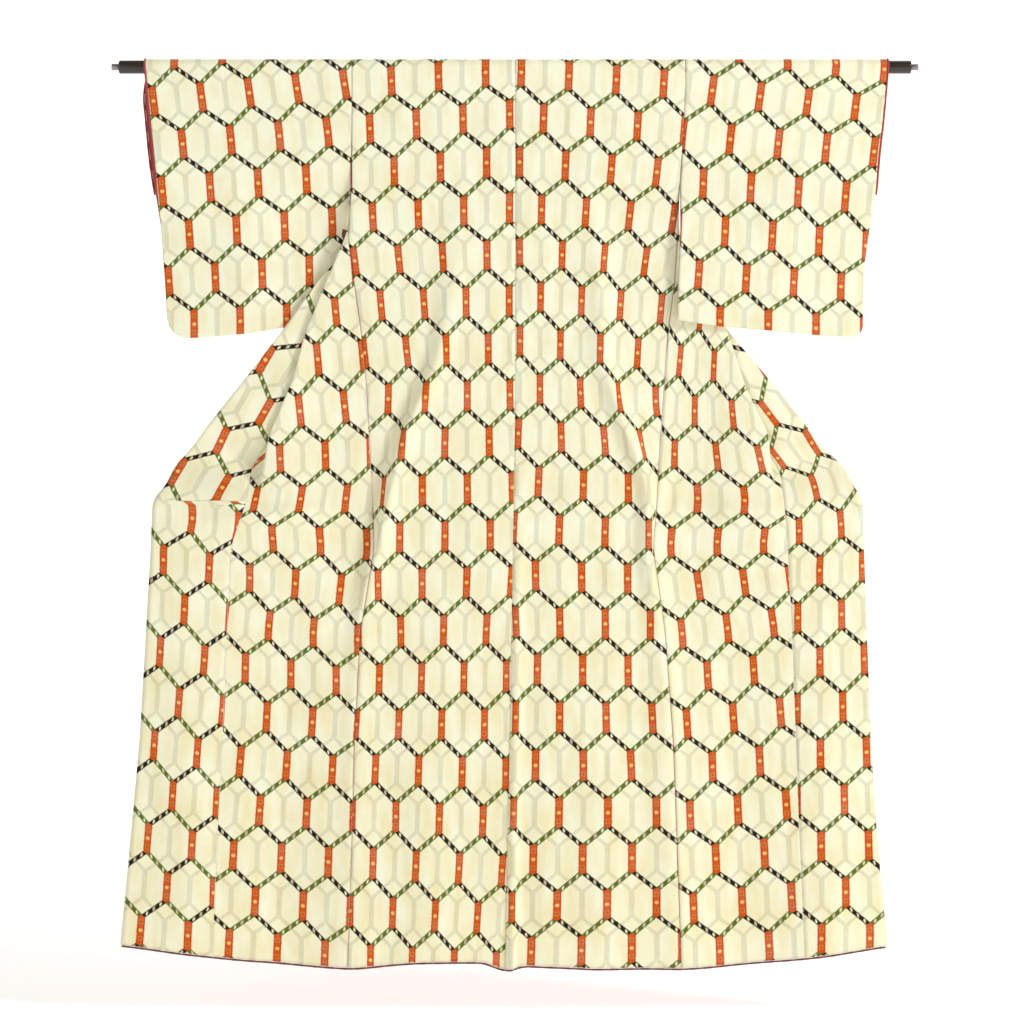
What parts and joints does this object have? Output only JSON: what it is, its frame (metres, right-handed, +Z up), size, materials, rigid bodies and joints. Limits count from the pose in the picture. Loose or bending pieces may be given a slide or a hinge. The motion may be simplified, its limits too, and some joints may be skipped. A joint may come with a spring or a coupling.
{
  "type": "kimono on a hanging pole",
  "caption": "Lined kimono with a woven hexagon pattern, hung by a round pole through its sleeves with the fronts opened out to the sides.",
  "frame": {"origin": "middle of the pole, on its axis", "axes": "+Z up, pole along X, the back of the garment faces -Y"},
  "size_m": [1.4226, 0.0622, 1.6078],
  "materials": {
    "cloth": "matt slub weave",
    "lining": "plain fine weave",
    "pole": "dark lacquered",
    "tips": "dull metal"
  },
  "bodies": {
    "root": {"body_left": "cloth", "body_right": "cloth", "okumi_left": "cloth", "okumi_right": "cloth", "sleeve_left": "cloth", "sleeve_right": "cloth", "collar_left": "cloth", "collar_right": "cloth", "over_collar": "cloth", "hem_roll_left": "lining", "hem_roll_right": "lining", "cuff_roll_left": "lining", "cuff_roll_right": "lining", "pole": "pole", "tip_left": "tips", "tip_right": "tips"}
  },
  "joints": []
}
